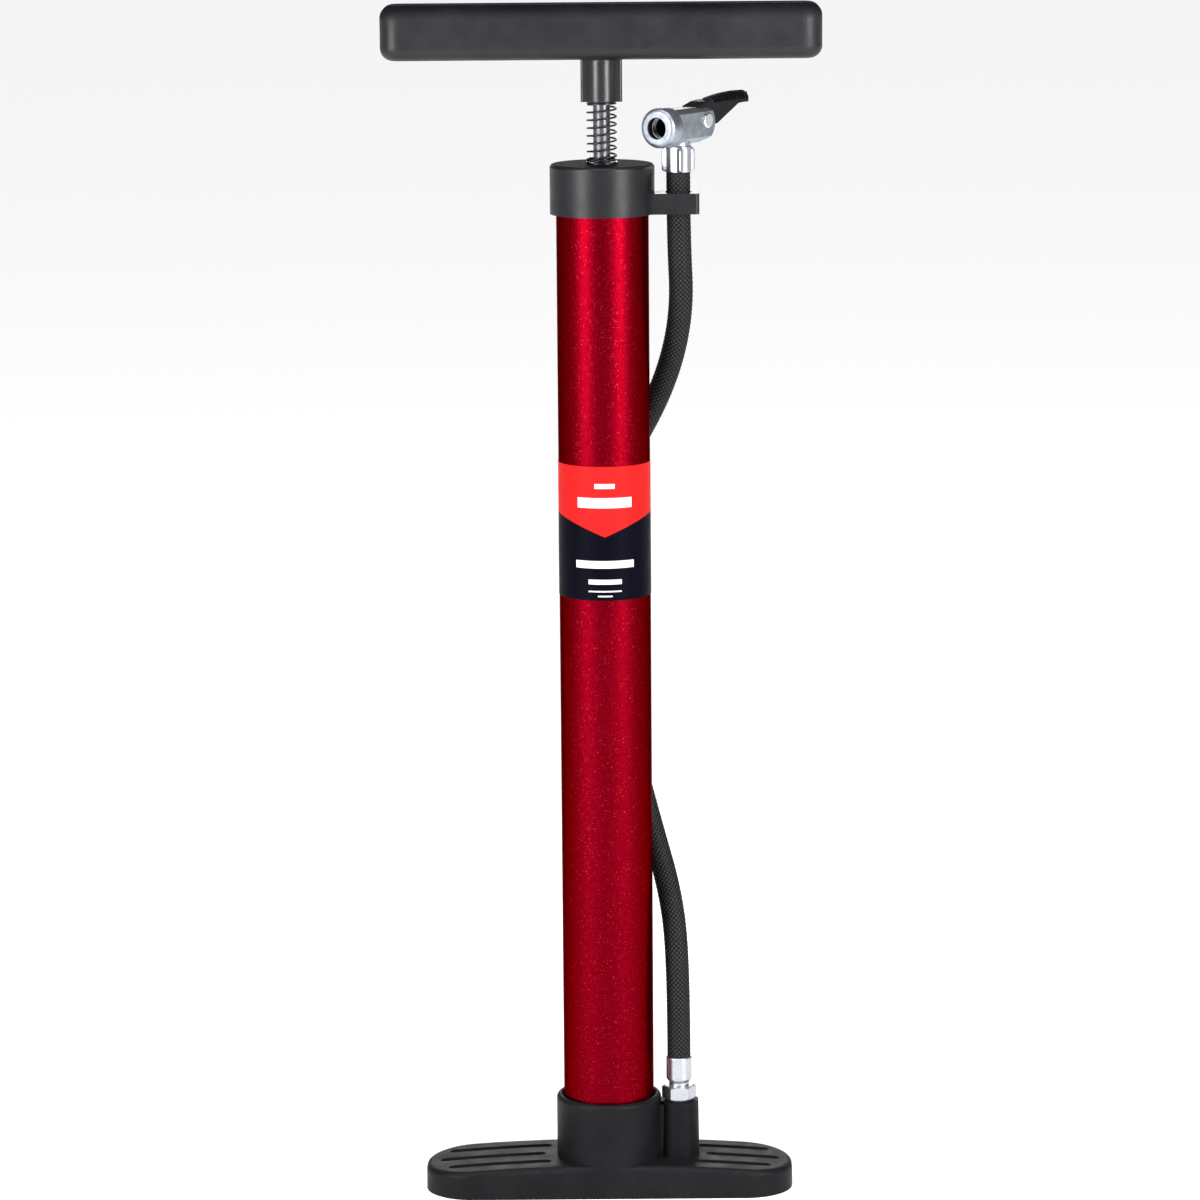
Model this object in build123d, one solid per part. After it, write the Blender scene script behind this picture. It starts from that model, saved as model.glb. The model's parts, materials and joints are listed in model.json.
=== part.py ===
"""Floor bike pump: foot, tube, plunger with T handle, air hose and thumb-lever valve head.

Millimetres, +Z up. The origin is the tube's axis at floor level. The wide foot and the handle run
along X, the hose stands on the +X side, and the front of the pump faces -Y.
"""
import math
import os

from build123d import *

# ---- driving dimensions ----
# tube
TUBE_R = 19.0
TUBE_WALL = 1.25
TUBE_BOTTOM = 21.5
TUBE_TOP = 429.3
BORE_R = TUBE_R - TUBE_WALL
LABEL_BOTTOM = 255.5
LABEL_TOP = 311.3
LABEL_THICK = 0.15
LABEL_HALF_ANGLE = 112.0

# foot
FOOT_LENGTH = 155.0
FOOT_DEPTH = 44.6
FOOT_TOP = 14.1
FOOT_END_R = 20.0
FOOT_CROWN_R = 820.0
FOOT_EDGE = 2.6
COLLAR_R = 22.1
COLLAR_TOP = 40.5
COLLAR_LIP = 1.9
COLLAR_LIP_DEPTH = 1.5
SOCKET_FLOOR = 20.0
GROOVE_PITCH = 11.5
GROOVE_WIDTH = 4.4
GROOVE_DEPTH = 1.1
POCKET_DEPTH = 6.6
WALL = 3.0
RIB = 2.0

# one-way valve in the foot
VALVE_R = 4.5
VALVE_FLOOR = 5.6
SEAT_BOTTOM = 16.0
SEAT_HOLE_R = 1.7
BALL_R = 2.5
PASSAGE_R = 2.0
PASSAGE_Z = 8.4

# hose port on the foot
PORT_X = 29.7
PORT_R = 8.2
PORT_FOOT_R = 8.6
PORT_TOP = 37.2
NUT_BOTTOM = 37.8
NUT_TOP = 43.6
NUT_FLATS = 12.6
STEM_R = 3.0
STEM_NECK_R = 4.2
STEM_HOLE_R = 1.4
LOW_FERRULE_BOTTOM = 45.0
LOW_FERRULE_TOP = 56.1
FERRULE_R = 5.1
FIN_REACH = 6.4
FIN_THICK = 2.4

# cap and hose clip
CAP_R = 21.5
CAP_BOTTOM = 413.7
CAP_TOP = 434.1
CAP_CEILING = 429.5
CAP_EDGE = 1.4
CLIP_TOP = 422.2
CLIP_REACH = 39.7
CLIP_FRONT = -8.2
CLIP_BACK = 6.0
CLIP_HOLE_R = 5.5
CLIP_MOUTH = 8.4

# rod, spring and handle
ROD_R = 3.5
ROD_BOTTOM = 34.5
ROD_TOP = 488.0
RUNNING = 0.05
BUSH_R = 6.0
BUSH_FLANGE_R = 9.0
BUSH_BOTTOM = 426.0
STOP_BOTTOM = 423.0
WASHER_THICK = 0.8
SEAT_THICK = 0.6
SPRING_R = 5.9
SPRING_WIRE_R = 0.4
SPRING_PITCH = 3.25
SPRING_FOOT = CAP_TOP + WASHER_THICK
BOSS_BOTTOM = 459.0
SPRING_HEAD = BOSS_BOTTOM - SEAT_THICK
HANDLE_LENGTH = 180.0
HANDLE_DEPTH = 25.0
HANDLE_BOTTOM = 476.9
HANDLE_TOP = 499.4
HANDLE_END_R = 8.0
HANDLE_EDGE_R = 5.2
BOSS_R = 6.15
BOSS_FIN_REACH = 8.5
BOSS_FIN_THICK = 5.0
BOSS_FIN_BOTTOM = 459.4
INSERT_FLATS = 11.0
INSERT_BOTTOM = 477.5

# piston, from the top down
GUIDE_TOP = 53.0
GUIDE_BOTTOM = 46.0
CUP_BOTTOM = 39.0
CUP_FLOOR = 43.5
CUP_LIP = 1.8
RETAINER_BOTTOM = 41.0
PISTON_WASHER_BOTTOM = 39.8
PISTON_NUT_BOTTOM = 35.8
PISTON_NUT_FLATS = 10.0

# valve head, in its own frame: +X out of the mouth, +Z up, the hose comes up the Z axis
HEAD_X = 31.2
HEAD_Z = 449.3
HEAD_TURN = 236.0
HEAD_R = 7.8
HEAD_HALF_WIDTH = 5.9
MOUTH = 16.0
RING_R = 8.2
RING_BACK = 8.0
VALVE_BORE_R = 4.5
SEAL_BORE_R = 4.3
VALVE_BORE_END = -3.0
CHEEK_X = -12.0
CHEEK_R = 7.0
PIVOT_X = -13.3
PIVOT_Z = 1.5
PIN_R = 1.6
RIVET_R = 3.2
RIVET_HEIGHT = 0.8
SLOT_HALF = 4.2
HOOK_WINDOW = 2.7
HOOK_HALF = 2.1
LEVER_HALF = 3.8
ARM_TOP = 8.0
PAD_HALF = 3.6
PAD_START = -21.5
PAD_END = -49.0
PAD_CREST = -41.0
PAD_TOP = 11.6
PAD_ARCH_R = 125.0
PAD_UNDER = 6.6
PAD_TEETH = 13
TOOTH = 0.7
RIDGE = 1.1
HUB_R = 3.2
HUB_ROOM = 0.8
TAIL_BOTTOM = -8.0
UP_FERRULE_BOTTOM = 430.3
UP_FERRULE_TOP = HEAD_Z + TAIL_BOTTOM

# air hose: its route from the upper ferrule, down behind the tube, to the lower ferrule
HOSE_R = 5.0
ARC_SHARE = 0.45
HOSE_ROUTE = [
    (31.2, 0.0, 430.3),
    (31.2, 0.0, 404.0),
    (32.8, 4.5, 371.0),
    (25.0, 15.2, 339.0),
    (8.0, 25.5, 307.0),
    (-0.5, 29.2, 268.0),
    (2.5, 28.8, 228.0),
    (8.7, 25.0, 190.0),
    (18.0, 17.6, 155.0),
    (27.6, 7.0, 122.0),
    (29.7, 0.0, 90.0),
    (29.7, 0.0, 56.1),
]


def rod_between(radius, low, high):
    """A round bar on the Z axis."""
    return Pos(0, 0, (low + high) / 2) * Cylinder(radius, high - low)


def ring_between(outer, inner, low, high):
    """A round sleeve on the Z axis."""
    return rod_between(outer, low, high) - rod_between(inner, low, high)


def box_between(low, high):
    """A box from its lowest corner to its highest."""
    size = [b - a for a, b in zip(low, high)]
    middle = [(a + b) / 2 for a, b in zip(low, high)]
    return Pos(*middle) * Box(*size)


def bar_along_x(radius, low, high):
    """A round bar on the X axis."""
    return Pos((low + high) / 2, 0, 0) * Rot(0, 90, 0) * Cylinder(radius, high - low)


def hexagon(flats, low, high):
    """A hexagonal prism on the Z axis."""
    outline = RegularPolygon(flats / 2, 6, major_radius=False)
    return Pos(0, 0, low) * extrude(outline, high - low)


def coil(radius, wire_radius, low, high, pitch):
    """A round-wire coil spring on the Z axis, from low to high over its wire."""
    rise = high - low - 2 * wire_radius
    path = Pos(0, 0, low + wire_radius) * Helix(pitch, rise, radius)
    section = Plane(origin=path @ 0, z_dir=path % 0) * Circle(wire_radius)
    return sweep(section, path=path)


def in_head(shape):
    """Put a shape drawn in the valve head's frame where the head stands."""
    return Pos(HEAD_X, 0, HEAD_Z) * Rot(0, 0, HEAD_TURN) * shape


# ---- foot ----

def foot_plate():
    """Long low plate with rounded ends, crowned along its length."""
    plate = extrude(RectangleRounded(FOOT_LENGTH, FOOT_DEPTH, FOOT_END_R), FOOT_TOP + 1)
    crown = Pos(0, 0, FOOT_TOP - FOOT_CROWN_R) * Rot(90, 0, 0) * Cylinder(FOOT_CROWN_R, 2 * FOOT_DEPTH)
    plate = plate & crown
    rim = [edge for edge in plate.edges() if edge.bounding_box().min.Z > POCKET_DEPTH]
    return fillet(rim, FOOT_EDGE)


def groove(inner, outer, y):
    """Shallow round-ended groove that follows the crown of one wing."""
    middle = (inner + outer) / 2
    length = abs(outer - inner)
    bed = FOOT_TOP - middle ** 2 / (2 * FOOT_CROWN_R) - GROOVE_DEPTH
    slope = math.degrees(math.asin(middle / FOOT_CROWN_R))
    cutter = extrude(SlotOverall(length, GROOVE_WIDTH), 6)
    return Pos(middle, y, bed) * Rot(0, slope, 0) * cutter


def foot_pockets():
    """Hollows under both wings, between stiffening ribs."""
    pockets = extrude(SlotOverall(FOOT_LENGTH - 2 * WALL, FOOT_DEPTH - 2 * WALL), POCKET_DEPTH)
    left_end = -(COLLAR_R + 3)
    right_end = PORT_X + PORT_FOOT_R + 1
    pockets -= box_between((left_end, -FOOT_DEPTH, 0), (right_end, FOOT_DEPTH, POCKET_DEPTH))
    for y in (-GROOVE_PITCH / 2, GROOVE_PITCH / 2):
        pockets -= box_between((-FOOT_LENGTH, y - RIB / 2, 0), (FOOT_LENGTH, y + RIB / 2, POCKET_DEPTH))
    for x in (-50, 57):
        pockets -= box_between((x - RIB / 2, -FOOT_DEPTH, 0), (x + RIB / 2, FOOT_DEPTH, POCKET_DEPTH))
    return pockets


def base_foot():
    """Moulded foot: winged plate, collar for the tube, port for the hose, air passage inside."""
    foot = foot_plate()
    for y in (-GROOVE_PITCH, GROOVE_PITCH):
        foot -= groove(-68, -24.5, y)
        foot -= groove(24.5, 68, y)
    foot -= groove(-72, -27, 0)
    foot -= groove(41, 72, 0)
    collar = rod_between(COLLAR_R, POCKET_DEPTH, COLLAR_TOP)
    foot += fillet(collar.edges().sort_by(Axis.Z)[-1], COLLAR_LIP)
    port = Pos(PORT_X, 0, (POCKET_DEPTH + PORT_TOP) / 2) * Cone(PORT_FOOT_R, PORT_R, PORT_TOP - POCKET_DEPTH)
    web = box_between((COLLAR_R - 6, -5.0, POCKET_DEPTH), (PORT_X, 5.0, PORT_TOP - 1.2))
    foot += port + web
    foot -= rod_between(TUBE_R, SOCKET_FLOOR, COLLAR_TOP + 1)
    lip = Pos(0, 0, COLLAR_TOP - COLLAR_LIP_DEPTH / 2)
    foot -= lip * Cone(TUBE_R, TUBE_R + 1.1, COLLAR_LIP_DEPTH)
    foot -= rod_between(VALVE_R, VALVE_FLOOR, SOCKET_FLOOR + 1)
    foot -= Pos(0, 0, PASSAGE_Z) * bar_along_x(PASSAGE_R, 0, PORT_X)
    foot -= Pos(PORT_X, 0, 0) * rod_between(STEM_R, PASSAGE_Z, PORT_TOP + 1)
    foot -= foot_pockets()
    return foot


def check_valve_seat():
    """Pressed ring that the ball closes from below."""
    seat = ring_between(VALVE_R, SEAT_HOLE_R, SEAT_BOTTOM, SOCKET_FLOOR)
    mouth = Pos(0, 0, SEAT_BOTTOM + 0.5) * Cone(2.6, SEAT_HOLE_R, 1.0)
    return seat - mouth


def ball_height():
    """Height of the ball's centre where it closes the seat."""
    return SEAT_BOTTOM - 1.35


def check_ball():
    """Ball of the one-way valve."""
    return Pos(0, 0, ball_height()) * Sphere(BALL_R)


def check_spring():
    """Small coil that lifts the ball to its seat."""
    return coil(1.7, 0.25, VALVE_FLOOR, ball_height() - 2.15, 1.6)


def barrel_seal_ring():
    """Flat rubber ring under the tube's end."""
    return ring_between(TUBE_R - 0.2, BORE_R - 1.2, SOCKET_FLOOR, TUBE_BOTTOM)


# ---- tube ----

def barrel():
    """Pump tube."""
    return ring_between(TUBE_R, BORE_R, TUBE_BOTTOM, TUBE_TOP)


def label_sticker():
    """Film wrapped round the front of the tube, open at the back."""
    film = ring_between(TUBE_R + LABEL_THICK, TUBE_R, LABEL_BOTTOM, LABEL_TOP)
    reach = 2 * TUBE_R
    half = math.radians(LABEL_HALF_ANGLE)
    gap = Polyline(
        (0, 0),
        (reach * math.sin(half), -reach * math.cos(half)),
        (0, reach),
        (-reach * math.sin(half), -reach * math.cos(half)),
        close=True,
    )
    return film - Pos(0, 0, LABEL_BOTTOM) * extrude(make_face(gap), LABEL_TOP - LABEL_BOTTOM)


# ---- cap ----

def hose_clip():
    """Arm on the cap's side with a socket that opens backwards, for the hose."""
    arm = box_between((CAP_R - 5, CLIP_FRONT, CAP_BOTTOM), (CLIP_REACH, CLIP_BACK, CLIP_TOP))
    corners = arm.edges().filter_by(Axis.Z).sort_by(Axis.X)[-2:]
    arm = fillet(corners, 1.6)
    arm -= Pos(HEAD_X, 0, 0) * rod_between(CLIP_HOLE_R, CAP_BOTTOM - 1, CLIP_TOP + 1)
    mouth_low = (HEAD_X - CLIP_MOUTH / 2, 0, CAP_BOTTOM - 1)
    mouth_high = (HEAD_X + CLIP_MOUTH / 2, CLIP_BACK + 1, CLIP_TOP + 1)
    return arm - box_between(mouth_low, mouth_high)


def top_cap():
    """Cap that closes the tube and guides the rod."""
    cap = rod_between(CAP_R, CAP_BOTTOM, CAP_TOP)
    cap = fillet(cap.edges().sort_by(Axis.Z)[-1], CAP_EDGE)
    cap += hose_clip()
    cap -= rod_between(TUBE_R, CAP_BOTTOM - 1, CAP_CEILING)
    return cap - rod_between(BUSH_R, CAP_CEILING - 1, CAP_TOP + 1)


def rod_guide_bush():
    """Flanged bush that the rod runs in."""
    bush = rod_between(BUSH_R, BUSH_BOTTOM, CAP_TOP - 0.1)
    bush += rod_between(BUSH_FLANGE_R, BUSH_BOTTOM, CAP_CEILING)
    return bush - rod_between(ROD_R + RUNNING, BUSH_BOTTOM - 1, CAP_TOP + 1)


def top_stop_ring():
    """Rubber ring that stops the piston at the top."""
    return ring_between(BUSH_FLANGE_R, ROD_R + 0.6, STOP_BOTTOM, BUSH_BOTTOM)


# ---- plunger ----

def plunger_rod():
    """Steel rod from the piston nut to the handle."""
    rod = rod_between(ROD_R, ROD_BOTTOM, ROD_TOP)
    return chamfer(rod.edges().sort_by(Axis.Z)[0], 0.6)


def spring_foot_washer():
    """Washer that the spring stands on."""
    return ring_between(SPRING_R + 0.6, ROD_R + 0.3, CAP_TOP, SPRING_FOOT)


def spring_seat_washer():
    """Washer between the spring and the handle's boss."""
    return ring_between(SPRING_R + 0.2, ROD_R + 0.3, SPRING_HEAD, BOSS_BOTTOM)


def bumper_spring():
    """Open coil that softens the end of the down stroke."""
    return coil(SPRING_R, SPRING_WIRE_R, SPRING_FOOT, SPRING_HEAD, SPRING_PITCH)


def handle_bar():
    """T handle with a short finned boss under its middle."""
    low = (-HANDLE_LENGTH / 2, -HANDLE_DEPTH / 2, HANDLE_BOTTOM)
    high = (HANDLE_LENGTH / 2, HANDLE_DEPTH / 2, HANDLE_TOP)
    grip = box_between(low, high)
    grip = fillet(grip.edges().filter_by(Axis.Z), HANDLE_END_R)
    rims = grip.edges().group_by(Axis.Z)
    grip = fillet(rims[0] + rims[-1], HANDLE_EDGE_R)
    boss = rod_between(BOSS_R, BOSS_BOTTOM, HANDLE_BOTTOM + 1)
    boss = fillet(boss.edges().sort_by(Axis.Z)[0], 0.8)
    fin_low = (-BOSS_FIN_REACH, -BOSS_FIN_THICK / 2, BOSS_FIN_BOTTOM)
    fin_high = (BOSS_FIN_REACH, BOSS_FIN_THICK / 2, HANDLE_BOTTOM + 1)
    fins = box_between(fin_low, fin_high)
    handle = grip + boss + fillet(fins.edges().filter_by(Axis.Z), 1.0)
    handle -= rod_between(ROD_R, BOSS_BOTTOM - 1, ROD_TOP)
    return handle - hexagon(INSERT_FLATS, INSERT_BOTTOM, ROD_TOP)


def handle_insert():
    """Hexagonal nut moulded into the handle, that the rod screws into."""
    return hexagon(INSERT_FLATS, INSERT_BOTTOM, ROD_TOP) - rod_between(ROD_R, INSERT_BOTTOM, ROD_TOP)


def piston_guide():
    """Disc that keeps the piston square in the tube."""
    guide = ring_between(BORE_R - RUNNING, ROD_R, GUIDE_BOTTOM, GUIDE_TOP)
    groove_low = GUIDE_BOTTOM + 2.2
    return guide - ring_between(BORE_R, BORE_R - 2.5, groove_low, GUIDE_TOP - 2.2)


def piston_cup():
    """Rubber cup with its lip facing down, which seals the down stroke."""
    cup = rod_between(BORE_R - RUNNING, CUP_BOTTOM, GUIDE_BOTTOM)
    cup -= rod_between(BORE_R - RUNNING - CUP_LIP, CUP_BOTTOM, CUP_FLOOR)
    return cup - rod_between(ROD_R, CUP_BOTTOM, GUIDE_BOTTOM)


def cup_retainer():
    """Disc inside the cup, under its floor."""
    return ring_between(BORE_R - CUP_LIP - 1.2, ROD_R, RETAINER_BOTTOM, CUP_FLOOR)


def piston_washer():
    """Washer over the piston nut."""
    return ring_between(7.0, ROD_R, PISTON_WASHER_BOTTOM, RETAINER_BOTTOM)


def piston_nut():
    """Nut that holds the piston stack on the rod."""
    nut = hexagon(PISTON_NUT_FLATS, PISTON_NUT_BOTTOM, PISTON_WASHER_BOTTOM)
    return nut - rod_between(ROD_R, PISTON_NUT_BOTTOM, PISTON_WASHER_BOTTOM)


# ---- hose and its fittings ----

def hose_port_washer():
    """Seal between the port and the hose nut."""
    return Pos(PORT_X, 0, 0) * ring_between(5.6, STEM_R, PORT_TOP, NUT_BOTTOM)


def hose_nut():
    """Hexagonal nut with chamfered corners."""
    corner = NUT_FLATS / math.sqrt(3)
    nut = hexagon(NUT_FLATS, NUT_BOTTOM, NUT_TOP)
    height = NUT_TOP - NUT_BOTTOM
    middle = Pos(0, 0, (NUT_BOTTOM + NUT_TOP) / 2)
    blank = chamfer(Cylinder(corner, height).edges().filter_by(GeomType.CIRCLE), 0.7, 1.3)
    nut = nut & (middle * blank)
    return Pos(PORT_X, 0, 0) * (nut - rod_between(STEM_R, NUT_BOTTOM, NUT_TOP))


def hose_stem():
    """Threaded stem that carries the hose, with a neck above the nut."""
    stem = rod_between(STEM_R, PASSAGE_Z + 14, LOW_FERRULE_TOP - 1)
    stem += rod_between(STEM_NECK_R, NUT_TOP, LOW_FERRULE_BOTTOM)
    stem -= rod_between(STEM_HOLE_R, PASSAGE_Z + 13, LOW_FERRULE_TOP)
    return Pos(PORT_X, 0, 0) * stem


def ferrule(low, high):
    """Crimped sleeve: a round shell with four pinched fins."""
    sleeve = rod_between(FERRULE_R, low, high)
    middle = (low + high) / 2
    for turn in (0, 90):
        fin = Box(2 * FIN_REACH, FIN_THICK, high - low - 1.6)
        fin = fillet(fin.edges().filter_by(Axis.Z), 0.8)
        sleeve += Pos(0, 0, middle) * Rot(0, 0, turn) * fin
    return sleeve


def lower_ferrule():
    """Sleeve over the hose's lower end."""
    sleeve = ferrule(LOW_FERRULE_BOTTOM, LOW_FERRULE_TOP)
    sleeve -= rod_between(STEM_R, LOW_FERRULE_BOTTOM, LOW_FERRULE_TOP - 1)
    return Pos(PORT_X, 0, 0) * Rot(0, 0, 20) * sleeve


def upper_ferrule():
    """Sleeve over the hose's upper end, under the valve head."""
    return Pos(HEAD_X, 0, 0) * Rot(0, 0, 12) * ferrule(UP_FERRULE_BOTTOM, UP_FERRULE_TOP)


def hose_runs():
    """The route's points, its runs and the arc radius at each corner."""
    points = [Vector(*point) for point in HOSE_ROUTE]
    runs = [b - a for a, b in zip(points, points[1:])]
    radii = []
    for before, after in zip(runs, runs[1:]):
        half_turn = math.radians(before.get_angle(after)) / 2
        radii.append(ARC_SHARE * min(before.length, after.length) / math.tan(half_turn))
    return points, runs, radii


def hose():
    """Air hose, as straight runs joined by tangent arcs."""
    points, runs, radii = hose_runs()
    path = FilletPolyline(*points, radius=radii)
    section = Plane(origin=path @ 0, z_dir=path % 0) * Circle(HOSE_R)
    tube = sweep(section, path=path)
    print("hose runs", [round(run.length, 1) for run in runs])
    print("hose radii", [round(radius, 1) for radius in radii])
    print("hose length %.1f, volume over section times length %.4f"
          % (path.length, tube.volume / (math.pi * HOSE_R ** 2 * path.length)))
    return tube


# ---- valve head ----

def head_body():
    """Housing with a round mouth, two cheeks for the lever and a tail for the hose."""
    body = bar_along_x(HEAD_R, CHEEK_X, RING_BACK + 1)
    heel = Pos(CHEEK_X, 0, 0.5) * Rot(90, 0, 0) * Cylinder(CHEEK_R, 2 * HEAD_R)
    body += heel & bar_along_x(HEAD_R, CHEEK_X - CHEEK_R - 1, CHEEK_X + 1)
    body &= box_between((-30, -HEAD_HALF_WIDTH, -HEAD_R), (RING_BACK + 1, HEAD_HALF_WIDTH, HEAD_R))
    ring = bar_along_x(RING_R, RING_BACK, MOUTH)
    ring = fillet(ring.edges().sort_by(Axis.X)[-1], 2.0)
    ring = fillet(ring.edges().sort_by(Axis.X)[0], 0.8)
    body += ring
    body += rod_between(FERRULE_R, TAIL_BOTTOM, 0)
    body -= bar_along_x(VALVE_BORE_R, RING_BACK, MOUTH + 1)
    body -= bar_along_x(SEAL_BORE_R, VALVE_BORE_END, RING_BACK + 1)
    body -= rod_between(1.6, TAIL_BOTTOM - 1, 0)
    body -= bar_along_x(1.6, VALVE_BORE_END - 2, 1)
    body -= box_between((-30, -SLOT_HALF, 5.3), (RING_BACK, SLOT_HALF, RING_R))
    body -= box_between((3.5, -HOOK_WINDOW, 0), (7.2, HOOK_WINDOW, RING_R))
    hub_low = (-30, -SLOT_HALF, PIVOT_Z - HUB_R - HUB_ROOM)
    body -= box_between(hub_low, (PIVOT_X + HUB_R + 2 * HUB_ROOM, SLOT_HALF, RING_R))
    return in_head(body - pivot_bar(PIN_R, HEAD_R))


def pivot_bar(radius, half):
    """A round bar on the lever's pivot, in the head's frame."""
    return Pos(PIVOT_X, 0, PIVOT_Z) * Rot(90, 0, 0) * Cylinder(radius, 2 * half)


def head_gasket():
    """Rubber ring that seals on the valve's end."""
    gasket = bar_along_x(SEAL_BORE_R, -1.8, 3.2) - bar_along_x(2.6, -2, 4)
    return in_head(gasket)


def head_valve_pin():
    """Disc with a pin that opens the valve's core."""
    pin = bar_along_x(SEAL_BORE_R, VALVE_BORE_END, -1.8) + bar_along_x(0.9, -2.5, 3.6)
    for y in (-2.8, 2.8):
        pin -= Pos(0, y, 0) * bar_along_x(0.8, VALVE_BORE_END - 1, 0)
    return in_head(pin)


def head_jaw():
    """Steel strip in the top slot, with a hook that bites the valve's thread."""
    strip = box_between((-9.0, -3.5, 5.8), (6.9, 3.5, 7.0))
    hook = box_between((4.7, -HOOK_HALF, 3.8), (6.0, HOOK_HALF, 6.4))
    return in_head(strip + hook)


def lever_arm():
    """The lever's arm, between the cheeks and under the thumb pad."""
    top = [(-9.0, 5.7), (-9.0, 7.2), (-15.5, 8.8), (PAD_START, 9.3), (PAD_START, ARM_TOP)]
    tip = [(PAD_END + 1, ARM_TOP), (PAD_END + 1, 7.2), (-46.0, 6.9), (-40.2, 6.5)]
    side = make_face(Plane.XZ * Polyline(*top, *tip, (-24.0, -0.6), (-15.0, -1.0), (-11.0, 1.0), close=True))
    return extrude(side, LEVER_HALF, both=True)


def thumb_pad():
    """Half-round pad with ridges across it and a square tip."""
    pitch = (PAD_END - PAD_START) / PAD_TEETH
    pad = box_between((PAD_END, -PAD_HALF + TOOTH, PAD_UNDER), (PAD_START, PAD_HALF - TOOTH, ARM_TOP))
    for index in range(PAD_TEETH):
        start = PAD_START + index * pitch
        crest = start + pitch / 2
        centre = PAD_TOP - PAD_HALF - (crest - PAD_CREST) ** 2 / (2 * PAD_ARCH_R)
        ridge = bar_along_x(PAD_HALF, crest - RIDGE / 2, crest + RIDGE / 2)
        valley = bar_along_x(PAD_HALF - TOOTH, start + pitch, start)
        pad += Pos(0, 0, centre) * (ridge + valley)
    tip = box_between((PAD_END, -PAD_HALF + TOOTH, PAD_UNDER), (PAD_END + 2.4, PAD_HALF - TOOTH, PAD_TOP - 0.7))
    pad += fillet(tip.edges().filter_by(Axis.Z).sort_by(Axis.X)[:2], 1.0)
    return pad & box_between((-60, -PAD_HALF, PAD_UNDER), (PAD_START, PAD_HALF, 20))


def head_lever():
    """Thumb lever: hub and arm, with a ridged pad behind the cheeks."""
    lever = lever_arm() + thumb_pad() + pivot_bar(HUB_R, LEVER_HALF)
    recess = box_between((PIVOT_X - 3.6, -LEVER_HALF, PIVOT_Z - 3.6), (PIVOT_X + 3.6, -0.9, PIVOT_Z + 3.6))
    lever -= recess - pivot_bar(2.2, LEVER_HALF)
    return in_head(lever - pivot_bar(PIN_R + RUNNING, HEAD_R))


def lever_pivot_pin():
    """Rivet through both cheeks."""
    pin = pivot_bar(PIN_R, HEAD_HALF_WIDTH)
    for side in (-1, 1):
        middle = side * (HEAD_HALF_WIDTH + RIVET_HEIGHT / 2)
        head = Pos(PIVOT_X, middle, PIVOT_Z) * Rot(90, 0, 0) * Cylinder(RIVET_R, RIVET_HEIGHT)
        rim = head.edges().sort_by(Axis.Y)[-1 if side > 0 else 0]
        pin += fillet(rim, 0.6)
    return in_head(pin)


def lever_spring():
    """Two turns of wire round the lever's hub, which hold the lever up."""
    turns = Rot(90, 0, 0) * coil(2.7, 0.25, 0.95, 2.25, 0.55)
    return in_head(Pos(PIVOT_X, 0, PIVOT_Z) * turns)


NODES = [
    base_foot, check_valve_seat, check_ball, check_spring, barrel_seal_ring, barrel, label_sticker,
    top_cap, rod_guide_bush, top_stop_ring, plunger_rod, spring_foot_washer, spring_seat_washer,
    bumper_spring, handle_bar, handle_insert, piston_guide, piston_cup, cup_retainer, piston_washer,
    piston_nut, hose_port_washer, hose_nut, hose_stem, lower_ferrule, upper_ferrule, hose, head_body,
    head_gasket, head_valve_pin, head_jaw, head_lever, lever_pivot_pin, lever_spring,
]

os.makedirs("parts", exist_ok=True)
for make in NODES:
    export_step(make(), os.path.join("parts", make.__name__ + ".step"))
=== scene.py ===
"""Looks of the floor bike pump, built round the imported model. Metres, +Z up, the front faces -Y."""

import json
import math

import bpy
from mathutils import Matrix, Vector


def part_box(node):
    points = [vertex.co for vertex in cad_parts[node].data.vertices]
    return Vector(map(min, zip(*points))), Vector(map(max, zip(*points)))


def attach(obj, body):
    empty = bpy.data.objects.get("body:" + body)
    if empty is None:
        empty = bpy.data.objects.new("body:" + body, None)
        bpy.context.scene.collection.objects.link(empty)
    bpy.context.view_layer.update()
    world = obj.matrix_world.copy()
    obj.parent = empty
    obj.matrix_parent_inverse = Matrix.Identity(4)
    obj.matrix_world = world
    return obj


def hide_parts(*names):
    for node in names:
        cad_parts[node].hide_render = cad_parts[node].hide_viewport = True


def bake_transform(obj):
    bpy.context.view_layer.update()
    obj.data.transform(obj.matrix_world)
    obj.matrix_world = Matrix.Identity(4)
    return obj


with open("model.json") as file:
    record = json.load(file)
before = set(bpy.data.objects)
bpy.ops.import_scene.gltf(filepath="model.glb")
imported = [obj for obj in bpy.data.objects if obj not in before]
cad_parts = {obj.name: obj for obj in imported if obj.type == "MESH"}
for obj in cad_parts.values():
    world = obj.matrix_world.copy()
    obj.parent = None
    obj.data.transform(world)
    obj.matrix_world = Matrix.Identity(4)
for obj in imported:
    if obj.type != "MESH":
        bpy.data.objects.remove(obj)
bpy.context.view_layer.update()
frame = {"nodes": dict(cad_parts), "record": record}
NODES = frame["nodes"]

MM = 0.001


def middle(node):
    """Centre of a CAD node's box."""
    low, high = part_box(node)
    return (low + high) / 2


# ---- places worked out from the frame ----

PORT_X = middle("hose_nut").x
HEAD_X = middle("upper_ferrule").x
CAP_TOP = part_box("top_cap")[1].z
HANDLE_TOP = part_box("handle_bar")[1].z
GRIP_BOTTOM = 476.9 * MM

SOCKET = next(m for m in frame["record"]["mounts"] if m["name"] == "valve_socket")
MOUTH_WAY = Vector(SOCKET["axis"])
BORE_R = SOCKET["dims"]["r_mm"] * MM
BORE_LENGTH = SOCKET["dims"]["length_mm"] * MM
MOUTH_FACE = Vector(SOCKET["pos_m"]) + MOUTH_WAY * BORE_LENGTH / 2


# ---- shader building ----

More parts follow.
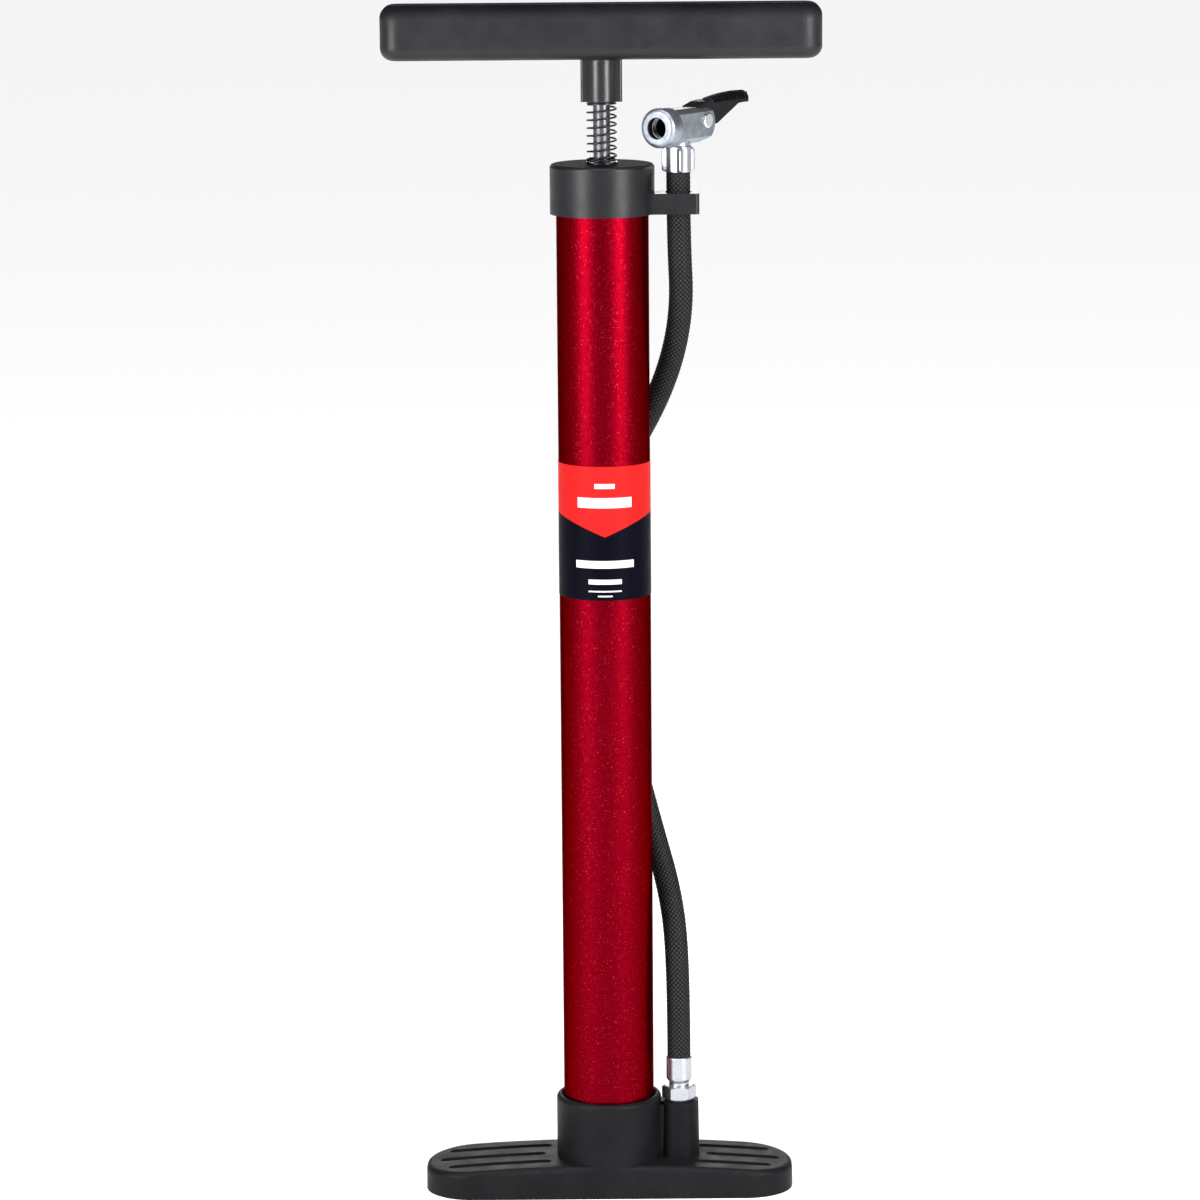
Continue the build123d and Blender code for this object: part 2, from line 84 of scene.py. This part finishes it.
class Shader:
    """A node material with short calls for the nodes used here."""

    def __init__(self, name):
        self.material = bpy.data.materials.new(name)
        self.material.use_nodes = True
        self.tree = self.material.node_tree
        self.main = self.tree.nodes["Principled BSDF"]
        self.place = self.tree.nodes.new("ShaderNodeTexCoord").outputs["Object"]

    def set(self, **values):
        """Plain values on the shader's own sockets; _ stands for a space."""
        for name, value in values.items():
            self.main.inputs[name.replace("_", " ")].default_value = value

    def plug(self, name, source):
        """Link a socket to one of the shader's inputs."""
        self.tree.links.new(source, self.main.inputs[name])

    def node(self, kind, inputs=(), **properties):
        """Add a node, set its properties, and feed its inputs by name or number."""
        made = self.tree.nodes.new("ShaderNode" + kind)
        for name, value in properties.items():
            setattr(made, name, value)
        for key, value in dict(inputs).items():
            if isinstance(value, bpy.types.NodeSocket):
                self.tree.links.new(value, made.inputs[key])
            else:
                made.inputs[key].default_value = value
        return made

    def math(self, operation, a, b=0.0):
        """One sum, product or other operation on numbers."""
        return self.node("Math", {0: a, 1: b}, operation=operation).outputs[0]

    def vector_math(self, operation, a, b, output="Vector"):
        """One operation on two vectors."""
        return self.node("VectorMath", {0: a, 1: b}, operation=operation).outputs[output]

    def noise(self, scale, detail=3.0, roughness=0.55, place=None):
        """Cloudy noise from 0 to 1, over the object's own coordinates unless a place is given."""
        inputs = {"Vector": place or self.place, "Scale": scale, "Detail": detail, "Roughness": roughness}
        return self.node("TexNoise", inputs).outputs["Fac"]

    def cells(self, scale, output="Distance"):
        """Random cells: the distance to the nearest cell's centre, or its random colour."""
        return self.node("TexVoronoi", {"Vector": self.place, "Scale": scale}).outputs[output]

    def stretched(self, x, y, z):
        """Object coordinates scaled along each axis."""
        return self.node("Mapping", {"Vector": self.place, "Scale": (x, y, z)}).outputs[0]

    def between(self, value, low, high, to_low=0.0, to_high=1.0):
        """Map a value from one range to another, clamped."""
        inputs = {0: value, 1: low, 2: high, 3: to_low, 4: to_high}
        return self.node("MapRange", inputs, clamp=True).outputs[0]

    def blend(self, factor, a, b):
        """Mix two colours."""
        mixer = self.node("Mix", data_type="RGBA")
        for index, value in ((0, factor), (6, a), (7, b)):
            if isinstance(value, bpy.types.NodeSocket):
                self.tree.links.new(value, mixer.inputs[index])
            elif index:
                mixer.inputs[index].default_value = (*value, 1.0)
            else:
                mixer.inputs[index].default_value = value
        return mixer.outputs[2]

    def shift(self, factor, a, b):
        """Mix two numbers."""
        return self.node("Mix", {0: factor, 2: a, 3: b}, data_type="FLOAT").outputs[0]

    def bump(self, height, strength, distance, under=None):
        """Normals tilted by a height, over other tilted normals if any are given."""
        inputs = {"Height": height, "Strength": strength, "Distance": distance}
        if under is not None:
            inputs["Normal"] = under
        return self.node("Bump", inputs).outputs[0]

    def axis(self, letter):
        """One of the object's own coordinates: X, Y or Z."""
        return self.node("SeparateXYZ", {0: self.place}).outputs[letter]


# ---- materials ----

def plastic(name, colour, light, roughness, grain, grain_depth, gloss=0.13, zones=()):
    """Moulded plastic: fine spark-eroded grain, slow mottling, slightly polished patches.

    A zone is (height where it starts, height where it is full, roughness, gloss).
    """
    s = Shader(name)
    fine = s.noise(grain, 4.0, 0.6)
    pits = s.cells(grain * 0.7)
    slow = s.noise(45.0, 3.0)
    s.plug("Base Color", s.blend(s.between(slow, 0.35, 0.7), colour, light))
    rough = s.between(s.noise(120.0, 4.0), 0.3, 0.7, roughness - 0.05, roughness + 0.08)
    shine = gloss
    for start, full, zone_roughness, zone_gloss in zones:
        share = s.between(s.axis("Z"), start, full)
        rough = s.shift(share, rough, zone_roughness)
        shine = s.shift(share, shine, zone_gloss)
    s.plug("Roughness", rough)
    height = s.math("ADD", s.math("MULTIPLY", fine, 0.6), s.math("MULTIPLY", pits, 0.4))
    s.plug("Normal", s.bump(height, 0.55, grain_depth))
    if zones:
        s.plug("Specular IOR Level", shine)
    else:
        s.set(Specular_IOR_Level=gloss)
    return s.material


def tube_paint():
    """Red metallic lacquer: random flakes in a dark red base."""
    s = Shader("red_flake_lacquer")
    level = s.node("SeparateXYZ", {0: s.cells(3100.0, "Color")}).outputs["X"]
    cloud = s.noise(300.0, 5.0, 0.7)
    base = s.blend(s.between(level, 0.0, 1.0), (0.092, 0.0, 0.003), (0.165, 0.0005, 0.006))
    glint = s.math("MULTIPLY", s.between(level, 0.982, 0.995), 0.45)
    glitter = s.blend(glint, base, (0.6, 0.05, 0.04))
    s.plug("Base Color", s.blend(s.between(cloud, 0.4, 0.8, 0.0, 0.3), glitter, (0.2, 0.002, 0.008)))
    s.plug("Roughness", s.between(level, 0.0, 1.0, 0.3, 0.38))
    tilt = s.bump(level, 0.2, 0.0001)
    s.plug("Normal", s.bump(cloud, 0.1, 0.00015, tilt))
    s.set(Metallic=1.0, Specular_Tint=(0.3, 0.0, 0.04, 1.0))
    return s.material


# Each bar's half width over the tube's radius, then its lower and upper edge over the film's height.
LABEL_BARS = (
    (0.22, 0.835, 0.875),
    (0.58, 0.69, 0.77),
    (0.62, 0.24, 0.30),
    (0.36, 0.12, 0.16),
    (0.36, 0.062, 0.076),
    (0.16, 0.026, 0.04),
)
LABEL_POINT = 0.475
LABEL_SLOPE = 0.15
LABEL_SOFT_EDGE = 0.006


def label_film():
    """Printed film: an orange-red panel that ends in a point over a near-black one, with plain white bars."""
    s = Shader("label_print")
    low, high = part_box("label_sticker")
    x = s.math("DIVIDE", s.axis("X"), high.x)
    z = s.math("DIVIDE", s.math("SUBTRACT", s.axis("Z"), low.z), high.z - low.z)
    front = s.math("LESS_THAN", s.axis("Y"), 0.0)
    soft = LABEL_SOFT_EDGE

    def bar(half, z_low, z_high):
        """1 inside a plain rectangle in the middle of the label."""
        across = s.between(s.math("ABSOLUTE", x), half, half - soft)
        upright = s.math("MULTIPLY", s.between(z, z_low, z_low + soft), s.between(z, z_high, z_high - soft))
        return s.math("MULTIPLY", across, upright)

    marks = bar(*LABEL_BARS[0])
    for shape in LABEL_BARS[1:]:
        marks = s.math("MAXIMUM", marks, bar(*shape))
    marks = s.math("MULTIPLY", marks, front)
    edge = s.math("ADD", LABEL_POINT, s.math("MULTIPLY", s.math("ABSOLUTE", x), LABEL_SLOPE))
    upper = s.between(s.math("SUBTRACT", z, edge), -soft / 2, soft / 2)
    grain = s.noise(900.0, 3.0)
    red = s.blend(s.between(grain, 0.3, 0.7), (0.385, 0.0085, 0.0085), (0.43, 0.012, 0.011))
    black = s.blend(s.between(grain, 0.3, 0.7), (0.0008, 0.0008, 0.003), (0.0018, 0.0018, 0.0055))
    s.plug("Base Color", s.blend(marks, s.blend(upper, black, red), (0.7, 0.69, 0.71)))
    s.plug("Roughness", s.between(s.noise(150.0), 0.3, 0.7, 0.36, 0.46))
    s.plug("Normal", s.bump(s.noise(420.0, 2.0), 0.04, 0.0001))
    s.set(Specular_IOR_Level=0.025)
    return s.material


def dark_steel(name, colour, roughness):
    """Oiled dark steel with drawing marks along its length."""
    s = Shader(name)
    drawn = s.noise(600.0, 5.0, 0.7, s.stretched(1.0, 1.0, 0.12))
    smear = s.noise(160.0, 4.0)
    lighter = tuple(min(1.0, value * 1.9) for value in colour)
    s.plug("Base Color", s.blend(s.between(drawn, 0.3, 0.75), colour, lighter))
    s.plug("Roughness", s.between(smear, 0.3, 0.7, roughness - 0.08, roughness + 0.14))
    s.plug("Normal", s.bump(drawn, 0.15, 0.00005))
    s.set(Metallic=0.9)
    return s.material


def plating(name, colour, roughness, depth):
    """Bright plated or bare metal with faint scuffs and slight unevenness."""
    s = Shader(name)
    slow = s.noise(240.0, 3.0)
    scuff = s.noise(1500.0, 4.0, 0.7)
    darker = tuple(value * 0.72 for value in colour)
    s.plug("Base Color", s.blend(s.between(scuff, 0.35, 0.75), colour, darker))
    s.plug("Roughness", s.between(scuff, 0.3, 0.75, roughness, roughness + 0.12))
    s.plug("Normal", s.bump(slow, 0.3, depth, s.bump(scuff, 0.1, depth / 3)))
    s.set(Metallic=1.0)
    return s.material


def cast_metal():
    """Zinc casting, tumbled: matt grey skin with fine pits, and painted shade: near black inside the mouth's
    bore.
    """
    s = Shader("cast_zinc")
    skin = s.noise(1500.0, 6.0, 0.7)
    cloud = s.noise(230.0, 4.0)
    offset = s.vector_math("SUBTRACT", s.place, tuple(MOUTH_FACE))
    across = s.vector_math("CROSS_PRODUCT", offset, tuple(MOUTH_WAY))
    off_axis = s.node("VectorMath", {0: across}, operation="LENGTH").outputs["Value"]
    ahead = s.vector_math("DOT_PRODUCT", offset, tuple(MOUTH_WAY), "Value")
    # Painted shade: a mask for the inside of the mouth's bore, which is coloured near black as shade in the
    # recess and made rougher.
    near = s.between(off_axis, BORE_R + 0.02 * MM, BORE_R + 0.12 * MM, 1.0, 0.0)
    inside = s.math("MULTIPLY", near, s.between(ahead, -0.4 * MM, -0.8 * MM))
    grey = s.blend(s.between(cloud, 0.35, 0.7), (0.22, 0.245, 0.28), (0.34, 0.365, 0.4))
    # Painted shade: near black in the bore in place of the grey casting.
    s.plug("Base Color", s.blend(inside, grey, (0.012, 0.012, 0.013)))
    s.plug("Roughness", s.math("ADD", s.between(skin, 0.3, 0.7, 0.3, 0.46), s.math("MULTIPLY", inside, 0.3)))
    s.plug("Normal", s.bump(skin, 0.35, 0.00006, s.bump(cloud, 0.25, 0.0003)))
    s.set(Metallic=0.92)
    return s.material


def braid_cloth():
    """Textile braid: near-black yarn with a painted highlight that makes the crowns of the strands paler,
    flecked by fine fibres.
    """
    s = Shader("braid_cloth")
    lift = s.node("Attribute", attribute_name="lift").outputs["Fac"]
    fibre = s.noise(5200.0, 4.0, 0.7)
    # Painted highlight: the raised crowns of the strands are coloured paler than the yarn, broken up by the
    # fibre noise.
    crown = s.math("MULTIPLY", s.between(lift, 0.66, 1.0), s.between(fibre, 0.3, 0.75, 0.3, 1.0))
    s.plug("Base Color", s.blend(crown, (0.0025, 0.0025, 0.003), (0.07, 0.07, 0.075)))
    s.plug("Roughness", s.between(fibre, 0.3, 0.7, 0.5, 0.7))
    s.plug("Normal", s.bump(fibre, 0.4, 0.00006))
    s.set(Specular_IOR_Level=0.12)
    return s.material


def soft_rubber():
    """Soft black rubber with a faint bloom."""
    s = Shader("soft_rubber")
    bloom = s.noise(220.0, 4.0)
    s.plug("Base Color", s.blend(s.between(bloom, 0.35, 0.75), (0.012, 0.012, 0.012), (0.04, 0.04, 0.041)))
    s.plug("Roughness", s.between(bloom, 0.3, 0.7, 0.5, 0.68))
    s.plug("Normal", s.bump(s.noise(1400.0), 0.2, 0.00005))
    return s.material


def make_materials():
    """One material for each of the record's slots."""
    return {
        "foot_plastic": plastic(
            "foot_grain", (0.003, 0.003, 0.0038), (0.006, 0.006, 0.0072), 0.5, 2400.0, 0.00014, 0.1,
        ),
        "cap_plastic": plastic(
            "cap_grain", (0.003, 0.003, 0.004), (0.006, 0.006, 0.0078), 0.36, 3200.0, 0.00006, 0.26,
            [(CAP_TOP - 0.4 * MM, CAP_TOP - 0.1 * MM, 0.75, 0.04)],
        ),
        "handle_plastic": plastic(
            "handle_grain", (0.005, 0.005, 0.0062), (0.0085, 0.0085, 0.0105), 0.42, 2600.0, 0.00012, 0.26,
            [
                (GRIP_BOTTOM - 0.2 * MM, GRIP_BOTTOM - 0.6 * MM, 0.27, 0.46),
                (HANDLE_TOP - 6.4 * MM, HANDLE_TOP - 1.4 * MM, 0.8, 0.01),
            ],
        ),
        "lever_plastic": plastic(
            "lever_grain", (0.003, 0.003, 0.0038), (0.006, 0.006, 0.007), 0.42, 3000.0, 0.00006,
        ),
        "bush_plastic": plastic("acetal", (0.5, 0.5, 0.47), (0.58, 0.58, 0.55), 0.4, 2500.0, 0.00003),
        "tube_paint": tube_paint(),
        "label_film": label_film(),
        "rod_steel": dark_steel("drawn_rod", (0.075, 0.075, 0.08), 0.3),
        "spring_steel": dark_steel("spring_wire", (0.018, 0.018, 0.02), 0.34),
        "fitting_chrome": plating("nickel_plate", (0.5, 0.51, 0.55), 0.33, 0.0002),
        "pin_metal": plating("rivet_metal", (0.78, 0.79, 0.81), 0.2, 0.0002),
        "jaw_steel": plating("jaw_strip", (0.24, 0.245, 0.26), 0.38, 0.0001),
        "valve_brass": plating("turned_brass", (0.72, 0.52, 0.22), 0.22, 0.0001),
        "head_metal": cast_metal(),
        "hose_braid": braid_cloth(),
        "seal_rubber": soft_rubber(),
    }


MATERIALS = make_materials()


def dress_frame():
    """Give every CAD node its slot's material."""
    slot_of = {item["node"]: item["material_slot"] for item in frame["record"]["subparts"]}
    for name, piece in NODES.items():
        for place in piece.material_slots:
            place.material = MATERIALS[slot_of[name]]


# ---- mesh building ----

def new_piece(name, points, faces, slot, body=None, replaced=(), lift=None):
    """A smooth mesh piece with its material, its slot, its body and the nodes it stands for.

    lift is a height for each point, which the braid's material reads. A piece with no body is left
    unattached.
    """
    mesh = bpy.data.meshes.new(name)
    mesh.from_pydata([tuple(point) for point in points], [], faces)
    mesh.validate()
    if lift is not None:
        mesh.attributes.new("lift", "FLOAT", "POINT").data.foreach_set("value", lift)
    mesh.shade_smooth()
    piece = bpy.data.objects.new(name, mesh)
    bpy.context.scene.collection.objects.link(piece)
    mesh.materials.append(MATERIALS[slot])
    if replaced:
        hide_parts(*replaced)
    if body:
        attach(piece, body)
    return piece


def skin(rings):
    """Points and faces of a skin over rings of equal count, with a fan over each end."""
    count = len(rings[0])
    points = [point for ring in rings for point in ring]
    faces = []
    for row in range(len(rings) - 1):
        for column in range(count):
            after = (column + 1) % count
            low, high = row * count, (row + 1) * count
            faces.append((low + column, low + after, high + after, high + column))
    for ring, row, flip in ((rings[0], 0, True), (rings[-1], len(rings) - 1, False)):
        hub = len(points)
        points.append(sum((Vector(point) for point in ring), Vector()) / count)
        for column in range(count):
            a, b = row * count + column, row * count + (column + 1) % count
            faces.append((b, a, hub) if flip else (a, b, hub))
    return points, faces


def frames_along(path):
    """Tangent and two cross directions at each point of a path, carried without twist."""
    side = None
    result = []
    for index, point in enumerate(path):
        before = path[max(index - 1, 0)]
        after = path[min(index + 1, len(path) - 1)]
        tangent = (after - before).normalized()
        if side is None:
            side = tangent.orthogonal().normalized()
        side = (side - tangent * side.dot(tangent)).normalized()
        result.append((tangent, side, tangent.cross(side)))
    return result


def wire(path, radius, sides=12):
    """Points and faces of a round wire along a path, with rounded ends."""
    directions = frames_along(path)
    rings = []
    last = len(path) - 1
    for index, (point, (tangent, side, other)) in enumerate(zip(path, directions)):
        scale = 0.7 if index in (0, last) else 1.0
        ring = []
        for step in range(sides):
            angle = 2 * math.pi * step / sides
            ring.append(point + (side * math.cos(angle) + other * math.sin(angle)) * radius * scale)
        rings.append(ring)
    return skin(rings)


# ---- hose ----

HOSE_DIAMETER = 10 * MM
HOSE_ROUTE = [
    (29.7, 0.0, 56.1),
    (29.7, 0.0, 90.0),
    (27.6, 7.0, 122.0),
    (18.0, 17.6, 155.0),
    (8.7, 25.0, 190.0),
    (2.5, 28.8, 228.0),
    (-0.5, 29.2, 268.0),
    (8.0, 25.5, 307.0),
    (25.0, 15.2, 339.0),
    (32.8, 4.5, 371.0),
    (31.2, 0.0, 404.0),
    (31.2, 0.0, 430.3),
]
BRAID_STRANDS = 16
BRAID_PITCH = 1.9 * MM
BRAID_DEPTH = 0.38 * MM
BRAID_STEP = 0.36 * MM
BRAID_SIDES = 96


def smooth_route(route):
    """Points of the NURBS line through the route, evenly spaced."""
    data = bpy.data.curves.new("hose_line", "CURVE")
    data.dimensions = "3D"
    data.resolution_u = 32
    spline = data.splines.new("NURBS")
    spline.points.add(len(route) - 1)
    for control, place in zip(spline.points, route):
        control.co = (*(value * MM for value in place), 1.0)
    spline.order_u = 3
    spline.use_endpoint_u = True
    line = bpy.data.objects.new("hose_line", data)
    mesh = bpy.data.meshes.new_from_object(line)
    raw = [vertex.co.copy() for vertex in mesh.vertices]
    bpy.data.objects.remove(line)
    return evenly(raw, BRAID_STEP)


def evenly(raw, step):
    """The same line with points a fixed step apart."""
    lengths = [0.0]
    for a, b in zip(raw, raw[1:]):
        lengths.append(lengths[-1] + (b - a).length)
    count = round(lengths[-1] / step)
    result = []
    place = 0
    for index in range(count + 1):
        want = lengths[-1] * index / count
        while place < len(raw) - 2 and lengths[place + 1] < want:
            place += 1
        span = lengths[place + 1] - lengths[place]
        share = (want - lengths[place]) / span if span else 0.0
        result.append(raw[place].lerp(raw[place + 1], share))
    return result


def braid_height(turn, along):
    """Height of a plain braid, 0 to 1, at a share of a turn and a length along the hose."""
    a = BRAID_STRANDS * turn + along / BRAID_PITCH
    b = BRAID_STRANDS * turn - along / BRAID_PITCH
    row_a, row_b = math.floor(a), math.floor(b)
    over_a = math.cos(math.pi * (b - 0.5 + row_a))
    over_b = -math.cos(math.pi * (a - 0.5 + row_b))
    crown_a = math.sin(math.pi * (a - row_a)) * (1 + 0.5 * over_a)
    crown_b = math.sin(math.pi * (b - row_b)) * (1 + 0.5 * over_b)
    return max(crown_a, crown_b) / 1.5


def make_hose():
    """Braided hose as one mesh, woven in its surface."""
    path = smooth_route(HOSE_ROUTE)
    directions = frames_along(path)
    rings, lift = [], []
    base = HOSE_DIAMETER / 2 - BRAID_DEPTH
    along = 0.0
    for index, (point, (tangent, side, other)) in enumerate(zip(path, directions)):
        if index:
            along += (point - path[index - 1]).length
        ring = []
        for step in range(BRAID_SIDES):
            turn = step / BRAID_SIDES
            height = braid_height(turn, along)
            angle = 2 * math.pi * turn
            radius = base + BRAID_DEPTH * height
            ring.append(point + (side * math.cos(angle) + other * math.sin(angle)) * radius)
            lift.append(height)
        rings.append(ring)
    points, faces = skin(rings)
    lift += [0.0, 0.0]
    piece = new_piece("braided_hose", points, faces, "hose_braid", "root", ("hose",), lift=lift)
    return piece, path


# ---- ferrules ----

def sleeve_rings(low, high, radius, profile, pinch, sides=144, rows=40):
    """Rings of a sleeve on the Z axis: profile(share) scales it, pinch(angle, share) adds to it."""
    rings = []
    for row in range(rows + 1):
        share = row / rows
        ring = []
        for step in range(sides):
            angle = 2 * math.pi * step / sides
            reach = radius * profile(share) + pinch(angle, share)
            z = low + (high - low) * share
            ring.append(Vector((reach * math.cos(angle), reach * math.sin(angle), z)))
        rings.append(ring)
    return rings


def hump(value, width):
    """A smooth hump of height 1."""
    return math.exp(-((value / width) ** 2))


def off_fin(angle, fins, first):
    """Angle to the nearest of several evenly spaced fins."""
    pitch = 2 * math.pi / fins
    return (angle - first + pitch / 2) % pitch - pitch / 2


def rolled(share, lip, depth):
    """Radius share of a sleeve whose ends roll in."""
    from_end = min(share, 1 - share)
    if from_end >= lip:
        return 1.0
    return 1.0 - depth * (1 - math.sqrt(1 - (1 - from_end / lip) ** 2))


def make_upper_ferrule():
    """Sleeve crimped into four thin fins, open round below them."""
    low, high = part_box("upper_ferrule")
    sleeve_r = 5.15 * MM
    fin_height = 1.65 * MM
    flute_depth = 0.28 * MM
    first = math.radians(6)
    flute_turn = math.radians(24)

    def pinch(angle, share):
        window = 1 - hump(share, 0.05) - hump(share - 1.0, 0.1)
        fin = hump(off_fin(angle, 4, first), 0.13) * fin_height
        flute = sum(hump(off_fin(angle, 4, first + side * flute_turn), 0.2) for side in (-1, 1))
        return (fin - flute * flute_depth) * window

    rings = sleeve_rings(low.z, high.z, sleeve_r, lambda share: rolled(share, 0.06, 0.1), pinch)
    points, faces = skin(rings)
    points = [point + Vector((HEAD_X, 0, 0)) for point in points]
    return new_piece("crimped_upper_ferrule", points, faces, "fitting_chrome", "root", ("upper_ferrule",))


def make_lower_ferrule():
    """Sleeve with pressed flats and a shoulder at its foot."""
    low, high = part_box("lower_ferrule")
    sleeve_r = 5.45 * MM
    flat_depth = 0.42 * MM

    def profile(share):
        shoulder = 0.2 * (1 - min(1.0, share / 0.13))
        return rolled(share, 0.05, 0.08) - shoulder

    def pinch(angle, share):
        window = hump(share - 0.55, 0.42)
        return -flat_depth * window * hump(off_fin(angle, 6, 0.4), 0.24)

    rings = sleeve_rings(low.z, high.z, sleeve_r, profile, pinch)
    points, faces = skin(rings)
    points = [point + Vector((PORT_X, 0, 0)) for point in points]
    return new_piece("crimped_lower_ferrule", points, faces, "fitting_chrome", "root", ("lower_ferrule",))


# ---- springs ----

def coil_path(low, high, wire_radius, turns, closed, steps):
    """Helix that fills a box, closed at its foot for so many turns and open above."""
    centre = (low + high) / 2
    radius = (high.x - low.x) / 2 - wire_radius
    bottom, top = low.z + wire_radius, high.z - wire_radius
    dead_rise = 2.1 * wire_radius if closed else 0.0
    path = []
    for index in range(steps + 1):
        turn = turns * index / steps
        if turn < closed:
            z = bottom + dead_rise * turn / closed
        else:
            share = (turn - closed) / (turns - closed)
            z = bottom + dead_rise + (top - bottom - dead_rise) * share
        angle = 2 * math.pi * turn + math.pi
        path.append(Vector((centre.x + radius * math.cos(angle), centre.y + radius * math.sin(angle), z)))
    return path


def make_spring(name, node, wire_radius, turns, closed, steps):
    """Coil in place of a spring node, left unattached and fixed in shape."""
    path = coil_path(*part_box(node), wire_radius, turns, closed, steps)
    points, faces = wire(path, wire_radius)
    piece = new_piece(name, points, faces, "spring_steel", replaced=(node,))
    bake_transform(piece)


# ---- valve head details ----

def make_mouth_threads():
    """Ridges inside the valve head's mouth."""
    first_in, last_in = BORE_LENGTH - 1.6 * MM, 2.8 * MM
    ridge_r = 0.22 * MM
    turns, steps = 3, 240
    side = Vector((0, 0, 1))
    other = MOUTH_WAY.cross(side)
    path = []
    for index in range(steps + 1):
        share = index / steps
        angle = 2 * math.pi * turns * share
        centre = MOUTH_FACE - MOUTH_WAY * (first_in + (last_in - first_in) * share)
        path.append(centre + (side * math.cos(angle) + other * math.sin(angle)) * (BORE_R - 0.05 * MM))
    points, faces = wire(path, ridge_r, 10)
    return new_piece("mouth_thread", points, faces, "fitting_chrome", "root")


dress_frame()
HOSE, HOSE_PATH = make_hose()
UPPER_SLEEVE = make_upper_ferrule()
LOWER_SLEEVE = make_lower_ferrule()
make_spring(
    "coil_spring", "bumper_spring", 0.4 * MM, turns=7.95, closed=1.1, steps=720,
)
make_spring(
    "check_coil", "check_spring", 0.25 * MM, turns=4.0, closed=0.0, steps=320,
)
THREAD = make_mouth_threads()


# ---- stage, light and camera ----

FLOOR_HALF = 30.0
CAMERA_DISTANCE = 2.0
CAMERA_SIDE = -0.0022
CAMERA_HEIGHT = 0.6189
AIM_HEIGHT = 0.2524
CAMERA_ROLL = 0.45
LENS = 146.6


def make_floor():
    """Plain pale floor."""
    corners = [(-1, -1), (1, -1), (1, 1), (-1, 1)]
    mesh = bpy.data.meshes.new("floor")
    mesh.from_pydata([(x * FLOOR_HALF, y * FLOOR_HALF, 0) for x, y in corners], [], [(0, 1, 2, 3)])
    floor = bpy.data.objects.new("floor", mesh)
    bpy.context.scene.collection.objects.link(floor)
    s = Shader("floor_paper")
    s.set(Base_Color=(0.9, 0.9, 0.9, 1), Roughness=0.9, Specular_IOR_Level=0.1)
    mesh.materials.append(s.material)


def soft_light(name, place, aim_height, width, height, power, spread=180):
    """Rectangular soft light that points at the pump at a height; spread is in degrees."""
    data = bpy.data.lights.new(name, "AREA")
    data.shape = "RECTANGLE"
    data.size, data.size_y = width, height
    data.energy = power
    data.spread = math.radians(spread)
    light = bpy.data.objects.new(name, data)
    light.location = place
    light.rotation_euler = (Vector((0, 0, aim_height)) - Vector(place)).to_track_quat("-Z", "Y").to_euler()
    bpy.context.scene.collection.objects.link(light)


def make_lights():
    """Tall soft boxes left and right of the front, a weak wide one behind, a soft sun, a dim surround."""
    soft_light("left_box", (-1.22, -1.18, 0.72), 0.34, width=0.6, height=0.95, power=40)
    soft_light("right_box", (1.15, -1.24, 0.72), 0.34, width=0.6, height=0.95, power=42)
    soft_light("rear_box", (0.0, 2.0, 0.7), 0.3, width=1.3, height=0.34, power=0.9, spread=50)
    data = bpy.data.lights.new("overhead", "SUN")
    data.energy = 2.95
    data.angle = math.radians(60)
    light = bpy.data.objects.new("overhead", data)
    light.rotation_euler = (math.radians(14), 0, 0)
    bpy.context.scene.collection.objects.link(light)
    world = bpy.data.worlds.new("surround")
    world.use_nodes = True
    world.node_tree.nodes["Background"].inputs["Color"].default_value = (1, 1, 1, 1)
    world.node_tree.nodes["Background"].inputs["Strength"].default_value = 0.12
    bpy.context.scene.world = world


def make_camera():
    """Camera in front of the pump, looking slightly down."""
    data = bpy.data.cameras.new("camera")
    data.sensor_width = 36.0
    data.lens = LENS
    data.clip_end = 100.0
    camera = bpy.data.objects.new("camera", data)
    pitch = math.atan((CAMERA_HEIGHT - AIM_HEIGHT) / CAMERA_DISTANCE)
    turn = Matrix.Rotation(math.pi / 2 - pitch, 4, "X") @ Matrix.Rotation(-math.radians(CAMERA_ROLL), 4, "Z")
    camera.matrix_world = Matrix.Translation((CAMERA_SIDE, -CAMERA_DISTANCE, CAMERA_HEIGHT)) @ turn
    bpy.context.scene.collection.objects.link(camera)
    bpy.context.scene.camera = camera


make_floor()
make_lights()
make_camera()
bpy.context.scene.view_settings.view_transform = "Standard"

bpy.context.view_layer.update()
